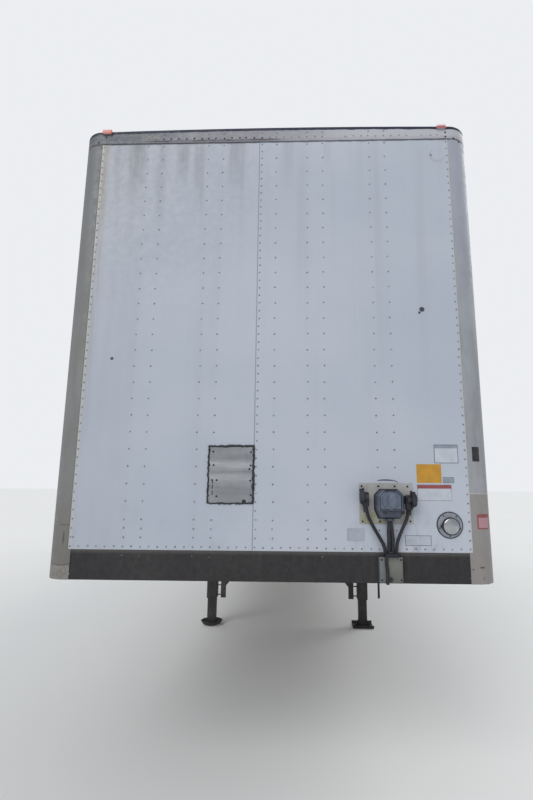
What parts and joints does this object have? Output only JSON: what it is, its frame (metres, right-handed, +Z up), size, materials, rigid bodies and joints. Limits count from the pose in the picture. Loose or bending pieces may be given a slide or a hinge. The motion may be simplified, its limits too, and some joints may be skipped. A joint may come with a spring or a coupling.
{
  "type": "van semi trailer",
  "caption": "Closed box semi trailer with riveted walls, swing rear doors, landing legs and a sliding tandem bogie on dual wheels.",
  "frame": {"origin": "on the ground, at the centre of the overall box", "axes": "+Z up, the front wall faces -Y, +X is the trailer's left side as it travels"},
  "size_m": [2.591, 16.335, 4.115],
  "materials": {
    "skin_white": "satin white paint with chalking and grime",
    "patch_metal": "dull mill finish",
    "rail_grey": "weathered mill finish",
    "roof_metal": "dull mill finish",
    "bare_steel": "galvanised",
    "floor_wood": "oiled hardwood strips",
    "black_steel": "dull black paint, dusty",
    "kingpin_steel": "greased forging",
    "plate_metal": "satin",
    "nose_plastic": "moulded grey-blue",
    "gladhand_metal": "dark casting",
    "holder_chrome": "polished, a little dull",
    "lamp_amber": "clear coloured lens",
    "lamp_red": "clear coloured lens",
    "hose_rubber": "matt rubber",
    "frame_paint": "galvanised and dull",
    "bumper_rubber": "moulded rubber",
    "axle_paint": "black paint with dust",
    "spring_rubber": "moulded rubber",
    "tank_paint": "satin black",
    "flap_rubber": "matt rubber sheet",
    "wheel_paint": "white enamel with road dirt",
    "tyre_rubber": "dusty rubber",
    "door_white": "satin white paint",
    "galvanised": "zinc plated"
  },
  "bodies": {
    "body": {"front_wall": "skin_white", "patch_plate": "patch_metal", "corner_post_left": "rail_grey", "corner_post_right": "rail_grey", "front_top_rail": "rail_grey", "side_wall_left": "skin_white", "side_wall_right": "skin_white", "top_rail_left": "rail_grey", "top_rail_right": "rail_grey", "bottom_rail_left": "rail_grey", "bottom_rail_right": "rail_grey", "roof": "roof_metal", "roof_bows": "bare_steel", "floor": "floor_wood", "crossmembers": "black_steel", "front_bolster": "black_steel", "upper_coupler": "black_steel", "kingpin": "kingpin_steel", "connector_plate": "plate_metal", "nose_box": "nose_plastic", "gladhands": "gladhand_metal", "document_holder": "holder_chrome", "hose_cover": "plate_metal", "marker_lamps": "lamp_amber", "air_lines": "hose_rubber", "leg_left": "black_steel", "leg_right": "black_steel", "foot_left": "black_steel", "foot_right": "black_steel", "cross_shaft": "black_steel", "crank": "black_steel", "slide_rails": "black_steel", "rear_frame": "frame_paint", "rear_lamps": "lamp_red", "dock_bumpers": "bumper_rubber", "impact_guard": "black_steel"},
    "bogie": {"bogie_frame": "black_steel", "axle_front": "axle_paint", "axle_rear": "axle_paint", "trailing_arms": "black_steel", "air_springs": "spring_rubber", "brake_chambers": "axle_paint", "shock_absorbers": "black_steel", "air_tank": "tank_paint", "flap_hangers": "black_steel", "mud_flaps": "flap_rubber"},
    "wheels_front_left": {"wheel_front_left": "wheel_paint", "tyres_front_left": "tyre_rubber"},
    "wheels_front_right": {"wheel_front_right": "wheel_paint", "tyres_front_right": "tyre_rubber"},
    "wheels_rear_left": {"wheel_rear_left": "wheel_paint", "tyres_rear_left": "tyre_rubber"},
    "wheels_rear_right": {"wheel_rear_right": "wheel_paint", "tyres_rear_right": "tyre_rubber"},
    "door_left": {"door_left": "door_white", "door_hardware_left": "galvanised"},
    "door_right": {"door_right": "door_white", "door_hardware_right": "galvanised"}
  },
  "joints": [
    {"name": "bogie_slide", "type": "slide", "parent": "body", "child": "bogie", "axis": [0, 1, 0], "range_m": [-0.9144, 1.8288]},
    {"name": "wheels_front_left_turn", "type": "hinge", "parent": "bogie", "child": "wheels_front_left", "pos_m": [0, 3.7939, 0.51], "axis": [1, 0, 0], "continuous": true},
    {"name": "wheels_front_right_turn", "type": "hinge", "parent": "bogie", "child": "wheels_front_right", "pos_m": [0, 3.7939, 0.51], "axis": [1, 0, 0], "continuous": true},
    {"name": "wheels_rear_left_turn", "type": "hinge", "parent": "bogie", "child": "wheels_rear_left", "pos_m": [0, 5.0385, 0.51], "axis": [1, 0, 0], "continuous": true},
    {"name": "wheels_rear_right_turn", "type": "hinge", "parent": "bogie", "child": "wheels_rear_right", "pos_m": [0, 5.0385, 0.51], "axis": [1, 0, 0], "continuous": true},
    {"name": "door_left_swing", "type": "hinge", "parent": "body", "child": "door_left", "pos_m": [1.268, 8.1385, 2.659], "axis": [0, 0, -1], "range_deg": [0, 265]},
    {"name": "door_right_swing", "type": "hinge", "parent": "body", "child": "door_right", "pos_m": [-1.268, 8.1385, 2.659], "axis": [0, 0, 1], "range_deg": [0, 265]}
  ]
}
